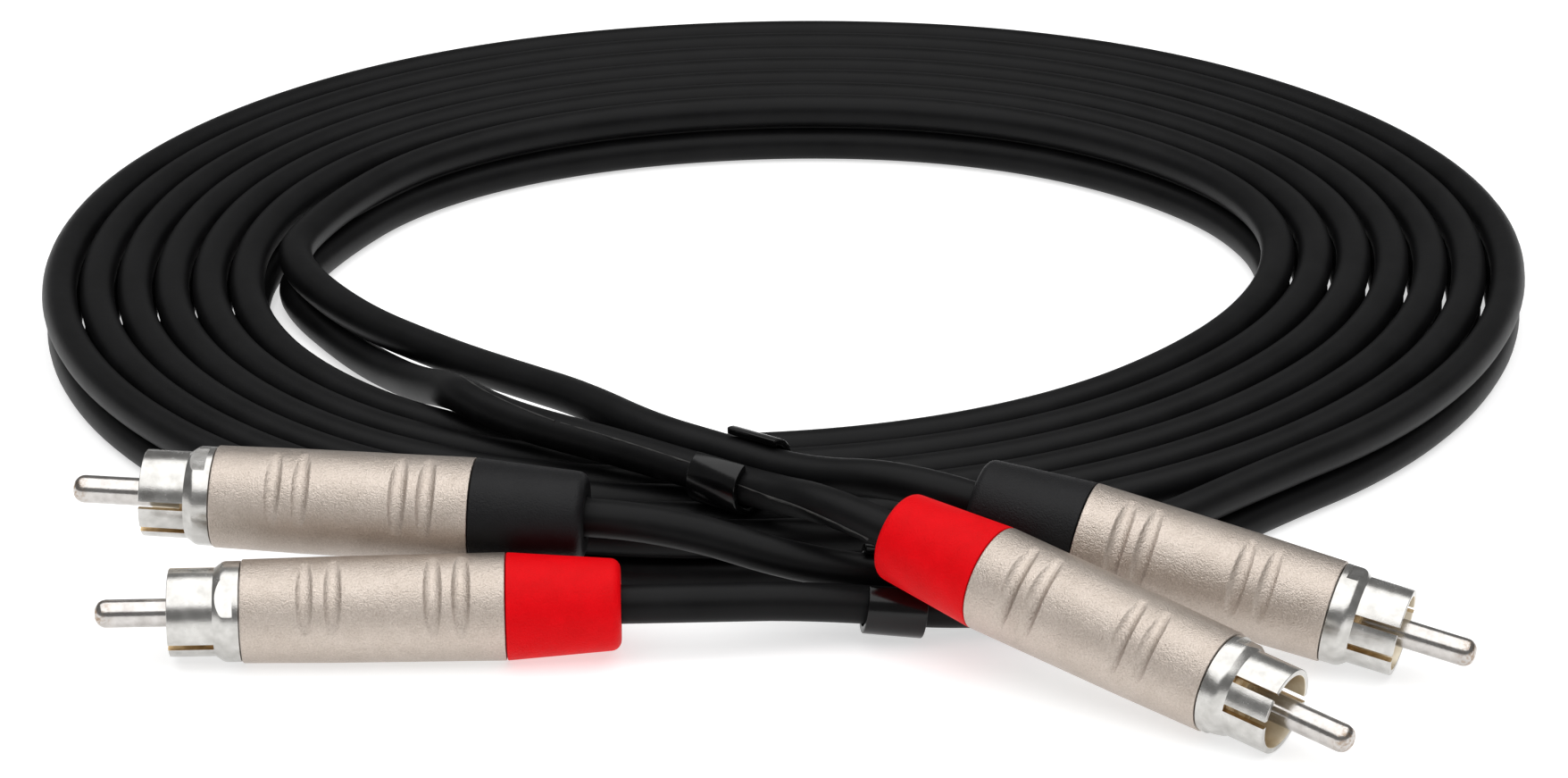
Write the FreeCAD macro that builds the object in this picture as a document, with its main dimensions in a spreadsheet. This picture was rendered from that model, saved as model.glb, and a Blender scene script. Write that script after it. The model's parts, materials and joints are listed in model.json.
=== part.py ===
import FreeCAD, Part, Sketcher
import math
import os

from FreeCAD import Placement, Rotation, Vector

# A coiled stereo interconnect: a twin round cable with a phono plug on each of its four ends.
# Millimetres. X is to the right, Y runs away from the plugs, Z is up, and the floor is Z = 0.

doc = FreeCAD.newDocument("interconnect_coil")

# Driving sizes. Diameters and radii of a plug build up from its sleeve, step by step outwards;
# lengths along a plug are counted from the tip of its centre pin.
SIZES = {
    "pin_dia": 3.18,
    "pin_reach": 8.35,
    "pin_tip_round": 1.2,
    "pin_shoulder": 0.29,
    "pin_cup_step": 0.21,
    "pin_cup_length": 3.6,
    "cup_bore_dia": 1.4,
    "cup_bore_depth": 2.4,
    "sleeve_dia": 9.9,
    "sleeve_wall": 0.7,
    "sleeve_length": 5.1,
    "cone_length": 1.0,
    "collar_step": 0.7,
    "collar_length": 1.95,
    "slot_width": 0.8,
    "slot_spread": 40.0,
    "flat_depth": 0.5,
    "flat_land": 0.7,
    "insulator_recess": 4.6,
    "insulator_seat": 2.2,
    "insulator_neck_length": 1.6,
    "thread_wall": 0.65,
    "thread_length": 4.2,
    "tail_step": 1.3,
    "tail_wall": 0.9,
    "tail_length": 9.0,
    "trough_length": 5.6,
    "trough_lip": 0.4,
    "shell_length": 29.6,
    "shell_land": 0.4,
    "shell_wall": 0.65,
    "shell_front_draw": 0.15,
    "shell_rear_flare": 0.1,
    "shell_waist_at": 10.0,
    "shell_seam": 0.1,
    "grip_radius": 7.1,
    "grip_round": 1.3,
    "grip_depth": 0.35,
    "grip_first": 7.3,
    "grip_pitch": 3.15,
    "grip_pair_pitch": 14.2,
    "boot_length": 12.75,
    "boot_taper": 0.95,
    "boot_round": 1.0,
    "boot_spigot_length": 5.0,
    "boot_spigot_wall": 0.35,
    "boot_bore_clearance": 0.3,
    "clamp_length": 10.5,
    "clamp_clearance": 0.37,
    "clamp_taper": 1.0,
    "clamp_slit": 0.8,
    "clamp_slit_length": 8.0,
    "clamp_from_boot": 2.1,
    "jacket_past_clamp": 3.0,
    "running_gap": 0.08,
    "soft_gap": 0.3,
    "cut_margin": 1.0,
    "cable_dia": 4.4,
    "core_dia": 2.2,
    "conductor_dia": 0.9,
    "drain_dia": 0.9,
    "cable_pair_gap": 0.3,
    "clip_length": 6.8,
    "clip_wall": 0.85,
    "clip_gap": 0.3,
    "clip_hook": 172.0,
    "coil_left": -1.2,
    "coil_back": 19.0,
    "coil_inner_radius": 59.2,
    "coil_bulge": 3.4,
    "coil_turn_gap": 0.48,
    "coil_turns": 6,
    "coil_inner_ease": 0.9,
    "coil_outer_ease": 0.2,
    "coil_inner_bearing": 160.0,
    "coil_outer_bearing": -50.0,
}

sheet = doc.addObject("Spreadsheet::Sheet", "sizes")
for row, (alias, value) in enumerate(SIZES.items(), start=1):
    sheet.set(f"A{row}", alias)
    sheet.set(f"B{row}", str(value))
    sheet.setAlias(f"B{row}", alias)
doc.recompute()


def size(alias):
    return float(sheet.get(alias))


def value_of(word):
    word = word.strip()
    return size(word[len("sizes."):]) if word.startswith("sizes.") else float(word)


def evaluate(text):
    """The value of a sum of sheet sizes, for what is placed or drafted before its expressions hold it."""
    total = 0.0
    for term in text.replace("- ", "+ -").split("+"):
        term = term.strip()
        sign = -1 if term.startswith("-") else 1
        factor = term.lstrip("-").strip()
        if "/" in factor:
            top, bottom = factor.split("/")
            total += sign * value_of(top) / value_of(bottom)
        else:
            total += sign * value_of(factor)
    return total


# Stations along a plug as expressions of the sheet, from the pin's tip backwards.
FRONT = "sizes.pin_reach"
CONE = f"{FRONT} + sizes.sleeve_length"
COLLAR = f"{CONE} + sizes.cone_length"
JOINT = f"{COLLAR} + sizes.collar_length"
THREAD_END = f"{JOINT} + sizes.thread_length"
TAIL_END = f"{THREAD_END} + sizes.tail_length"
INSULATOR = f"{FRONT} + sizes.insulator_recess"
SEAT = f"{JOINT} + sizes.insulator_seat"
NECK_END = f"{SEAT} + sizes.insulator_neck_length"
CUP_END = f"{NECK_END} + sizes.pin_cup_length"
BOOT = f"{JOINT} + sizes.shell_length"
BOOT_END = f"{BOOT} + sizes.boot_length"
CLAMP_END = f"{BOOT} - sizes.clamp_from_boot"
CLAMP = f"{CLAMP_END} - sizes.clamp_length"
JACKET = f"{CLAMP} - sizes.jacket_past_clamp"

# Radii of a plug, each a step from the one before.
PIN = "sizes.pin_dia / 2"
STEM = f"{PIN} - sizes.pin_shoulder"
CUP = f"{PIN} + sizes.pin_cup_step"
SLEEVE = "sizes.sleeve_dia / 2"
SLEEVE_BORE = f"{SLEEVE} - sizes.sleeve_wall"
COLLAR_RIM = f"{SLEEVE} + sizes.collar_step"
THREAD = f"{SLEEVE_BORE} + sizes.thread_wall"
TAIL = f"{THREAD} - sizes.tail_step"
TAIL_BORE = f"{TAIL} - sizes.tail_wall"
SHELL_BORE = f"{THREAD} + sizes.shell_land"
SHELL_WAIST = f"{SHELL_BORE} + sizes.shell_wall"
SHELL_FRONT = f"{SHELL_WAIST} - sizes.shell_front_draw"
SHELL_REAR = f"{SHELL_WAIST} + sizes.shell_rear_flare"
BOOT_REAR = f"{SHELL_REAR} - sizes.boot_taper"
BOOT_BORE = "sizes.cable_dia / 2 + sizes.boot_bore_clearance"
SPIGOT = f"{SHELL_BORE} - sizes.running_gap"
SPIGOT_CUP = f"{SPIGOT} - sizes.boot_spigot_wall"
CLAMP_REAR = f"{SPIGOT_CUP} - sizes.clamp_clearance"
CLAMP_NOSE = f"{CLAMP_REAR} - sizes.clamp_taper"

plug_length = evaluate(BOOT_END)
thickness = evaluate(SHELL_REAR)
cable = size("cable_dia")
levels = {"lower": cable / 2, "upper": cable * 1.5 + size("cable_pair_gap")}

# The coil: each of the two cables winds outwards on its own level, one above the other.
first_turn = (180 - size("coil_inner_bearing")) / 360
last_turn = round(size("coil_turns")) + (180 - size("coil_outer_bearing")) / 360
front_turn = round(size("coil_turns")) - 0.25
turn_pitch = cable + size("coil_turn_gap")


def coil_radius(turn):
    sideways = math.cos(2 * math.pi * turn) ** 2
    return size("coil_inner_radius") + turn_pitch * turn + size("coil_bulge") * sideways


def round_coil(turn, radius, level, turned=0.0):
    """A point at the bearing of a turn, and so many degrees past it, at a radius from the coil's middle."""
    angle = math.pi - 2 * math.pi * turn + math.radians(turned)
    return Vector(size("coil_left") + radius * math.cos(angle), size("coil_back") + radius * math.sin(angle), level)


# The plugs lie in front of the coil, so their places are counted from its outermost turn there.
coil_front = size("coil_back") - coil_radius(front_turn)

# Where each plug lies: the middle of its boot's rear face, the heading from pin to boot, how high its
# sleeve is over the floor, and how far the sleeve and the shell are turned about the axis. The second
# plug of each pair is placed from the first by steps of the shell's radius.
PLUGS = {
    "red_left": {"end": Vector(-18.2, coil_front - 12.9, thickness + 0.22), "heading": 1.4,
                 "sleeve_lift": 0.88, "sleeve_turn": 48.0, "shell_turn": -42.0},
    "red_right": {"end": Vector(12.5, coil_front - 10.29, thickness + 1.74 * cable), "heading": 146.8,
                  "sleeve_lift": 0.09, "sleeve_turn": 24.0, "shell_turn": 37.0},
}
PLUGS["black_left"] = {"end": PLUGS["red_left"]["end"] + Vector(-4.1, 1.53 * thickness, 1.07 * thickness),
                       "heading": -5.6, "sleeve_lift": 8.7, "sleeve_turn": 13.0, "shell_turn": -40.0}
PLUGS["black_right"] = {"end": PLUGS["red_right"]["end"] + Vector(1.52 * thickness, 1.25 * thickness, 0.6),
                        "heading": 161.2, "sleeve_lift": 0.53, "sleeve_turn": 7.0, "shell_turn": 35.0}

parts = []


def axis_of(plug):
    """The direction from pin to boot, rising as the boot's end and the sleeve's front lie."""
    climb = plug["end"].z - (evaluate(SLEEVE) + plug["sleeve_lift"])
    heading, rise = math.radians(plug["heading"]), math.asin(climb / (plug_length - evaluate(FRONT)))
    return Vector(math.cos(rise) * math.cos(heading), math.cos(rise) * math.sin(heading), math.sin(rise))


def plug_placement(plug, turn):
    along = axis_of(plug)
    level = Vector(0, 0, 1).cross(along)
    frame = Rotation(along, level, along.cross(level), "XYZ")
    turned = frame.multiply(Rotation(Vector(1, 0, 0), turn))
    return Placement(plug["end"] - along * plug_length, turned)


def keep(obj, label, placement=None):
    obj.Label = label
    if placement is not None:
        obj.Placement = placement
    parts.append(obj)
    return obj


def revolved_body(label, profile):
    """A body turned about X from a closed profile of (station, radius) expressions."""
    body = doc.addObject("PartDesign::Body", label)
    sketch = body.newObject("Sketcher::SketchObject", "profile")
    plane = [f for f in body.Origin.OriginFeatures if f.Role == "XY_Plane"][0]
    sketch.AttachmentSupport = (plane, [""])
    sketch.MapMode = "FlatFace"
    corners = [(evaluate(x), evaluate(r)) for x, r in profile]
    count = len(profile)
    for i in range(count):
        a, b = corners[i], corners[(i + 1) % count]
        sketch.addGeometry(Part.LineSegment(Vector(*a, 0), Vector(*b, 0)), False)
    for i in range(count):
        sketch.addConstraint(Sketcher.Constraint("Coincident", i, 2, (i + 1) % count, 1))
    for i, (x, r) in enumerate(profile):
        for kind, text, axis in (("DistanceX", x, -2), ("DistanceY", r, -1)):
            if text == "0":
                sketch.addConstraint(Sketcher.Constraint("PointOnObject", i, 1, axis))
                continue
            value = corners[i][0] if kind == "DistanceX" else corners[i][1]
            index = sketch.addConstraint(Sketcher.Constraint(kind, -1, 1, i, 1, value))
            sketch.setExpression(f"Constraints[{index}]", text)
    turned = body.newObject("PartDesign::Revolution", "turned")
    turned.Profile = sketch
    turned.ReferenceAxis = (sketch, ["H_Axis"])
    turned.Angle = 360
    sketch.Visibility = False
    return body


def rounded(body, station, radius, fillet):
    """Rounds the circle of a turned body that lies at a station with a radius."""
    doc.recompute()
    at, across = evaluate(station), evaluate(radius)
    names = []
    for number, edge in enumerate(body.Shape.Edges, start=1):
        box = edge.BoundBox
        if abs(box.XMin - at) < 1e-4 and abs(box.XMax - at) < 1e-4 and abs(box.YMax - across) < 1e-3:
            names.append(f"Edge{number}")
    turned = body.Tip
    rounding = body.newObject("PartDesign::Fillet", "rounding")
    rounding.Base = (turned, names)
    rounding.setExpression("Radius", fillet)
    return body


def bound(kind, name, **expressions):
    obj = doc.addObject(kind, name)
    for prop, text in expressions.items():
        obj.setExpression(prop, text)
    return obj


def fused(name, shapes):
    obj = doc.addObject("Part::MultiFuse", name)
    obj.Shapes = shapes
    return obj


def cut(name, base, tool):
    obj = doc.addObject("Part::Cut", name)
    obj.Base = base
    obj.Tool = tool
    return obj


# The pieces of one plug.

def centre_pin(label):
    bore_floor = f"{CUP_END} - sizes.cup_bore_depth"
    body = revolved_body(label, [
        ("0", "0"),
        ("0", PIN),
        (INSULATOR, PIN),
        (INSULATOR, STEM),
        (NECK_END, STEM),
        (NECK_END, CUP),
        (CUP_END, CUP),
        (CUP_END, "sizes.cup_bore_dia / 2"),
        (bore_floor, "sizes.cup_bore_dia / 2"),
        (bore_floor, "0"),
    ])
    return rounded(body, "0", PIN, "sizes.pin_tip_round")


def insulator(label):
    return revolved_body(label, [
        (INSULATOR, STEM),
        (INSULATOR, SLEEVE_BORE),
        (SEAT, SLEEVE_BORE),
        (SEAT, TAIL_BORE),
        (NECK_END, TAIL_BORE),
        (NECK_END, STEM),
    ])


def ground_sleeve(label):
    tube = revolved_body(f"{label}_tube", [
        (FRONT, SLEEVE_BORE),
        (FRONT, SLEEVE),
        (CONE, SLEEVE),
        (COLLAR, COLLAR_RIM),
        (JOINT, COLLAR_RIM),
        (JOINT, THREAD),
        (THREAD_END, THREAD),
        (THREAD_END, TAIL),
        (TAIL_END, TAIL),
        (TAIL_END, TAIL_BORE),
        (SEAT, TAIL_BORE),
        (SEAT, SLEEVE_BORE),
    ])
    across = 2 * evaluate(COLLAR_RIM)
    tools = []
    for side in (1, -1):
        slot = bound("Part::Box", f"{label}_slot", Length="sizes.sleeve_length + sizes.slot_width",
                     Width="sizes.slot_width", Height=f"2 * ({COLLAR_RIM})")
        turn = Rotation(Vector(1, 0, 0), 90 + side * size("slot_spread") / 2)
        corner = Vector(evaluate(FRONT) - size("slot_width"), -size("slot_width") / 2, -across / 2)
        slot.Placement = Placement(turn.multVec(corner), turn)
        tools.append(slot)
    for side in (1, -1):
        flat = bound("Part::Box", f"{label}_flat", Width=f"2 * ({COLLAR_RIM})",
                     Height="sizes.flat_depth + sizes.cut_margin",
                     Length="sizes.cone_length + sizes.collar_length - sizes.flat_land")
        turn = Rotation(Vector(1, 0, 0), 0 if side > 0 else 180)
        corner = Vector(evaluate(CONE), -across / 2, across / 2 - size("flat_depth"))
        flat.Placement = Placement(turn.multVec(corner), turn)
        tools.append(flat)
    window = bound("Part::Box", f"{label}_window", Length="sizes.trough_length + sizes.cut_margin",
                   Width=f"2 * ({TAIL}) + sizes.cut_margin", Height=f"2 * ({TAIL})")
    window.Placement.Base = Vector(evaluate(TAIL_END) - size("trough_length"),
                                   -evaluate(TAIL) - size("cut_margin") / 2, -size("trough_lip"))
    tools.append(window)
    return cut(label, tube, fused(f"{label}_cuts", tools))


def shell(label):
    front = f"{JOINT} + sizes.shell_seam"
    rear = f"{BOOT} - sizes.shell_seam"
    thread_room = f"{THREAD_END} + sizes.soft_gap"
    tube = revolved_body(f"{label}_tube", [
        (front, f"{THREAD} + sizes.running_gap"),
        (front, SHELL_FRONT),
        (f"{JOINT} + sizes.shell_waist_at", SHELL_WAIST),
        (rear, SHELL_REAR),
        (rear, SHELL_BORE),
        (thread_room, SHELL_BORE),
        (thread_room, f"{THREAD} + sizes.running_gap"),
    ])
    tools = []
    centre = evaluate(SHELL_WAIST) - size("grip_depth") - size("grip_radius")
    for side in (1, -1):
        for group in (0, 1):
            for step in (0, 1):
                grip = bound("Part::Torus", f"{label}_grip", Radius1="sizes.grip_radius + sizes.grip_round",
                             Radius2="sizes.grip_round")
                station = (evaluate(JOINT) + size("grip_first") + group * size("grip_pair_pitch")
                           + step * size("grip_pitch"))
                grip.Placement = Placement(Vector(station, side * centre, 0), Rotation(Vector(0, 1, 0), 90))
                tools.append(grip)
    return cut(label, tube, fused(f"{label}_cuts", tools))


def boot(label):
    body = revolved_body(label, [
        (f"{BOOT} - sizes.boot_spigot_length", SPIGOT_CUP),
        (f"{BOOT} - sizes.boot_spigot_length", SPIGOT),
        (BOOT, SPIGOT),
        (BOOT, SHELL_REAR),
        (BOOT_END, BOOT_REAR),
        (BOOT_END, BOOT_BORE),
        (f"{BOOT} + sizes.shell_seam", BOOT_BORE),
        (f"{BOOT} + sizes.shell_seam", SPIGOT_CUP),
    ])
    return rounded(body, BOOT_END, BOOT_REAR, "sizes.boot_round")


def cable_clamp(label):
    bore = "sizes.cable_dia / 2 + sizes.running_gap"
    cone = revolved_body(f"{label}_cone", [
        (CLAMP, bore),
        (CLAMP, CLAMP_NOSE),
        (f"{CLAMP} + sizes.clamp_length / 2", CLAMP_REAR),
        (CLAMP_END, CLAMP_REAR),
        (CLAMP_END, bore),
    ])
    across = 2 * evaluate(CLAMP_REAR) + size("cut_margin")
    slits = []
    for angle in (0, 90):
        slit = bound("Part::Box", f"{label}_slit", Length="sizes.clamp_slit_length + sizes.cut_margin",
                     Width="sizes.clamp_slit", Height=f"2 * ({CLAMP_REAR}) + sizes.cut_margin")
        turn = Rotation(Vector(1, 0, 0), angle)
        corner = Vector(evaluate(CLAMP) - size("cut_margin"), -size("clamp_slit") / 2, -across / 2)
        slit.Placement = Placement(turn.multVec(corner), turn)
        slits.append(slit)
    return cut(label, cone, fused(f"{label}_slits", slits))


def inner_wire(label):
    inside = f"{CUP_END} - sizes.cup_bore_depth + sizes.running_gap"
    stripped = f"{CUP_END} + sizes.running_gap"
    return revolved_body(label, [
        (inside, "0"),
        (inside, "sizes.conductor_dia / 2"),
        (stripped, "sizes.conductor_dia / 2"),
        (stripped, "sizes.core_dia / 2"),
        (JACKET, "sizes.core_dia / 2"),
        (JACKET, "0"),
    ])


def drain_wire(label):
    start = f"{TAIL_END} - sizes.trough_length"
    wire = bound("Part::Cylinder", label, Radius="sizes.drain_dia / 2", Height=f"{JACKET} - ({start})")
    low = size("core_dia") / 2 + size("running_gap") + size("drain_dia") / 2
    wire.Placement = Placement(Vector(evaluate(start), 0, -low), Rotation(Vector(0, 1, 0), 90))
    return wire


def cable_end(label):
    return revolved_body(label, [
        (JACKET, "0"),
        (JACKET, "sizes.cable_dia / 2"),
        (BOOT_END, "sizes.cable_dia / 2"),
        (BOOT_END, "0"),
    ])


PIECES = {
    "centre_pin": centre_pin,
    "insulator": insulator,
    "ground_sleeve": ground_sleeve,
    "shell": shell,
    "boot": boot,
    "cable_clamp": cable_clamp,
    "inner_wire": inner_wire,
    "drain_wire": drain_wire,
    "cable_end": cable_end,
}

for plug_name, plug in PLUGS.items():
    for piece_name, make in PIECES.items():
        piece = make(f"{piece_name}_{plug_name}")
        placement = plug_placement(plug, plug["shell_turn" if piece_name == "shell" else "sleeve_turn"])
        keep(piece, f"{piece_name}_{plug_name}", placement.multiply(piece.Placement))


# The coil's cables: arcs that meet along the turns' headings.

def coil_point(turn, level, ease=0.0):
    return round_coil(turn, coil_radius(turn) + ease, level)


def coil_heading(turn, level):
    small = 1e-4
    return (coil_point(turn + small, level) - coil_point(turn - small, level)).normalize()


def arc_from(start, heading, end):
    """The arc that leaves start along heading and ends at end."""
    chord = end - start
    along = chord * (1 / chord.Length)
    side = heading - along * heading.dot(along)
    if side.Length < 1e-9:
        return Part.LineSegment(start, end)
    half = math.atan2(side.Length, heading.dot(along)) / 2
    middle = start + chord * 0.5 + side.normalize() * (chord.Length / 2 * math.tan(half))
    return Part.Arc(start, middle, end)


def biarc(start, heading, end, end_heading):
    """Two arcs that join two points along their headings, meeting in the middle."""
    chord, total = end - start, heading + end_heading
    slack = 2 * (1 - heading.dot(end_heading))
    reach = (-chord.dot(total) + math.sqrt(chord.dot(total) ** 2 + slack * chord.dot(chord))) / slack
    meet = (start + end + (heading - end_heading) * reach) * 0.5
    first = arc_from(start, heading, meet)
    back = arc_from(end, end_heading * -1, meet)
    second = Part.Arc(meet, back.value((back.FirstParameter + back.LastParameter) / 2), end)
    return [first, second]


def tube(path, start, heading):
    """A round cable along a path, and its volume against section times length."""
    ring = Part.Wire([Part.Circle(start, heading, cable / 2).toShape()])
    solid = path.makePipeShell([ring], True, False)
    ideal = math.pi * (cable / 2) ** 2 * path.Length
    return solid, solid.Volume / ideal


# The end of the coil joins the next quarter when less than this share of a quarter turn lies between.
least_quarter = 0.3


def coil_path(level):
    quarters = [first_turn]
    quarters += [q / 4 for q in range(math.ceil(first_turn * 4 + least_quarter),
                                      math.floor(last_turn * 4 - least_quarter) + 1)]
    quarters.append(last_turn)
    stations = [coil_point(turn, level) for turn in quarters]
    stations[0] = coil_point(first_turn, level, -size("coil_inner_ease"))
    stations[-1] = coil_point(last_turn, level, size("coil_outer_ease"))
    headings = [coil_heading(turn, level) for turn in quarters]
    start, end, enter, leave = stations[0], stations[-1], headings[0], headings[-1]
    edges = [Part.LineSegment(start - enter * cable, start).toShape()]
    for here, going, there, arriving in zip(stations, headings, stations[1:], headings[1:]):
        edges += [arc.toShape() for arc in biarc(here, going, there, arriving)]
    edges.append(Part.LineSegment(end, end + leave * cable).toShape())
    return Part.Wire(edges), start - enter * cable, enter, end + leave * cable, leave


gap_samples = 1600


def least_self_gap(path):
    """The least distance between one turn and the next, measured on points, less the cable."""
    points = path.discretize(Number=gap_samples)
    step = path.Length / (gap_samples - 1)
    apart = int(math.pi * size("coil_inner_radius") / step)
    least = min((points[i] - points[j]).Length for i in range(len(points)) for j in range(i + apart, len(points)))
    return least - cable


def feature(label, shape):
    obj = doc.addObject("Part::Feature", label)
    obj.Shape = shape
    keep(obj, label)
    return obj


coil_ends = {}
for level_name in ("upper", "lower"):
    path, start, enter, end, leave = coil_path(levels[level_name])
    solid, ratio = tube(path, start, enter)
    feature(f"coil_{level_name}", solid)
    coil_ends[level_name] = {"inner": (start, enter * -1), "outer": (end, leave)}
    print(f"coil_{level_name}: length {path.Length:.0f}, volume ratio {ratio:.5f},"
          f" least gap {least_self_gap(path):.3f}")

# The four free cables, from the coil to the plug that each ends in. The points are chosen by hand, and
# each cable first runs on in line with the coil's end and last runs straight out of its boot.
# Beside the coil a point is so many degrees past the coil's end and so far outside its radius. By the
# plugs it is X and so far behind the front turn. The last number is its rise over its own level. How far
# outside, how far behind and the rise are in diameters of the cable.
# The red cable of each pair lies beside the black one there, by steps of the cable's diameter.
straight_lead = {"inner": 4.4, "outer": 5.5}
straight_exit = 9.0
end_turn = {"inner": first_turn, "outer": last_turn}
TAILS = {
    "black_right": {
        "level": "upper", "end": "inner",
        "beside_coil": [(12.84, 0.025, 0.0), (18.51, -0.17, 0.0), (25.22, -0.711, 0.0),
                        (33.52, -1.366, 0.023), (42.59, -1.891, 0.068), (53.12, -2.259, 0.205),
                        (64.54, -2.273, 0.432), (76.89, -1.718, 0.773), (88.27, -0.448, 1.205)],
        "by_plugs": [(-15.95, 4.468, 1.477), (2.7, 1.4, 1.477)]},
    "black_left": {
        "level": "upper", "end": "outer",
        "beside_coil": [(-10.96, 0.309, -0.045), (-18.01, 0.225, -0.284)],
        "by_plugs": [(22.0, -0.907, -0.489), (3.0, -1.316, 0.114)]},
    "red_right": {
        "level": "lower", "end": "inner",
        "beside_coil": [(12.84, 0.025, 0.0), (18.52, -0.148, 0.0), (24.8, -0.627, 0.0),
                        (32.99, -1.255, 0.0), (42.73, -1.73, 0.045), (53.22, -1.836, 0.205),
                        (62.54, -1.491, 0.636), (71.17, -0.895, 1.318), (80.61, -0.166, 2.136),
                        (89.42, 1.193, 2.386)],
        "from_pair": ("black_right", [(-0.625, -0.875, -0.18), (-1.0, -0.615, -0.18)])},
    "red_left": {
        "level": "lower", "end": "outer",
        "beside_coil": [(-11.75, 0.664, 0.0), (-18.66, 1.093, 0.045)],
        "from_pair": ("black_left", [(0.0, -1.15, -0.285), (0.0, -1.07, -0.41)])},
}
arc_share = 0.45


def points_beside_coil(tail):
    turn, level = end_turn[tail["end"]], levels[tail["level"]]
    return [round_coil(turn, coil_radius(turn) + out * cable, level + rise * cable, turned)
            for turned, out, rise in tail["beside_coil"]]


def points_by_plugs(tail):
    if "from_pair" in tail:
        pair, steps = tail["from_pair"]
        return [point + Vector(*step) * cable for point, step in zip(points_by_plugs(TAILS[pair]), steps)]
    return [Vector(x, coil_front + behind * cable, levels[tail["level"]] + rise * cable)
            for x, behind, rise in tail["by_plugs"]]


def rounded_path(points):
    """Straight runs joined by tangent arcs as large as the shorter run beside each corner allows."""
    edges, radii = [], []
    here = points[0]
    for before, corner, after in zip(points, points[1:], points[2:]):
        come, go = corner - before, after - corner
        reach = arc_share * min(come.Length, go.Length)
        come, go = come.normalize(), go.normalize()
        turn = math.acos(max(-1.0, min(1.0, come.dot(go))))
        enter, leave = corner - come * reach, corner + go * reach
        radius = reach / math.tan(turn / 2)
        bisector = (go - come).normalize()
        middle = corner + bisector * (radius * (1 / math.cos(turn / 2) - 1))
        edges.append(Part.LineSegment(here, enter).toShape())
        edges.append(Part.Arc(enter, middle, leave).toShape())
        radii.append(round(radius, 1))
        here = leave
    edges.append(Part.LineSegment(here, points[-1]).toShape())
    return Part.Wire(edges), radii


for plug_name, tail in TAILS.items():
    plug = PLUGS[plug_name]
    start, outward = coil_ends[tail["level"]][tail["end"]]
    points = [start, start + outward * straight_lead[tail["end"]]]
    points += points_beside_coil(tail) + points_by_plugs(tail)
    points += [plug["end"] + axis_of(plug) * straight_exit, Vector(plug["end"])]
    path, radii = rounded_path(points)
    solid, ratio = tube(path, start, outward)
    feature(f"cable_tail_{plug_name}", solid)
    print(f"cable_tail_{plug_name}: length {path.Length:.1f}, volume ratio {ratio:.5f}, radii {radii}")


# The clips: a flat bridge under both cables with a hook round the outside of each.

def clip(label, far_run, near_run, station):
    """A clip across two parallel runs, each given by its two ends, at a distance along the first."""
    start, end = far_run
    along = (end - start).normalize()
    far = start + along * station
    near_start, near_end = near_run
    near_along = (near_end - near_start).normalize()
    near = near_start + near_along * (far - near_start).dot(near_along)
    across = near - far
    across = (across - along * across.dot(along)).normalize()
    normal = along.cross(across)
    if normal.z < 0:
        normal = normal * -1
    inner = cable / 2 + size("clip_gap")
    outer = inner + size("clip_wall")
    length = size("clip_length")
    spacing = (near - far).dot(across)

    def on_section(u, v):
        return far + across * u + normal * v - along * (length / 2)

    def ring_point(centre, radius, angle):
        outward = -1 if centre == 0 else 1
        return on_section(centre + outward * radius * math.sin(angle), -radius * math.cos(angle))

    hook = math.radians(size("clip_hook"))
    edges = []
    for centre in (0, spacing):
        for radius in (inner, outer):
            edges.append(Part.Arc(*(ring_point(centre, radius, hook * share) for share in (0, 0.5, 1))).toShape())
    for radius in (inner, outer):
        edges.append(Part.LineSegment(ring_point(0, radius, 0), ring_point(spacing, radius, 0)).toShape())
    for centre in (0, spacing):
        edges.append(Part.LineSegment(ring_point(centre, inner, hook), ring_point(centre, outer, hook)).toShape())
    outline = Part.Wire(Part.__sortEdges__(edges))
    solid = Part.Face(outline).extrude(along * length)
    feature(label, solid)
    middle = (far + near) * 0.5
    print(f"{label}: middle {tuple(round(v, 3) for v in middle)}, axis {tuple(round(v, 6) for v in along)},"
          f" spacing {spacing:.2f}")


for side, station in (("right", 15.0), ("left", 10.0)):
    clip(f"clip_{side}_pair", points_by_plugs(TAILS[f"black_{side}"]), points_by_plugs(TAILS[f"red_{side}"]), station)

doc.recompute()

for obj in doc.Objects:
    if {"Invalid", "Error"} & set(obj.State):
        raise RuntimeError(f"{obj.Label} did not recompute: {obj.State}")

overall = FreeCAD.BoundBox()
for part in parts:
    shape = part.Shape
    if shape.isNull() or not shape.isValid() or not shape.Solids:
        raise RuntimeError(f"{part.Label} has no valid solid")
    overall.add(shape.optimalBoundingBox(False, False))
print(f"overall box {overall}")

for plug_name, plug in PLUGS.items():
    along = axis_of(plug)
    tip = plug["end"] - along * plug_length
    print(f"{plug_name}: end {tuple(round(v, 4) for v in plug['end'])}, tip {tuple(round(v, 4) for v in tip)},"
          f" axis {tuple(round(v, 7) for v in along)}")

os.makedirs("parts", exist_ok=True)
for part in parts:
    part.Shape.exportStep(f"parts/{part.Label}.step")
print(f"{len(parts)} nodes written")
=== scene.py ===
import bpy
import bmesh
import json
import math
from mathutils import Matrix, Vector, noise


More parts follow.
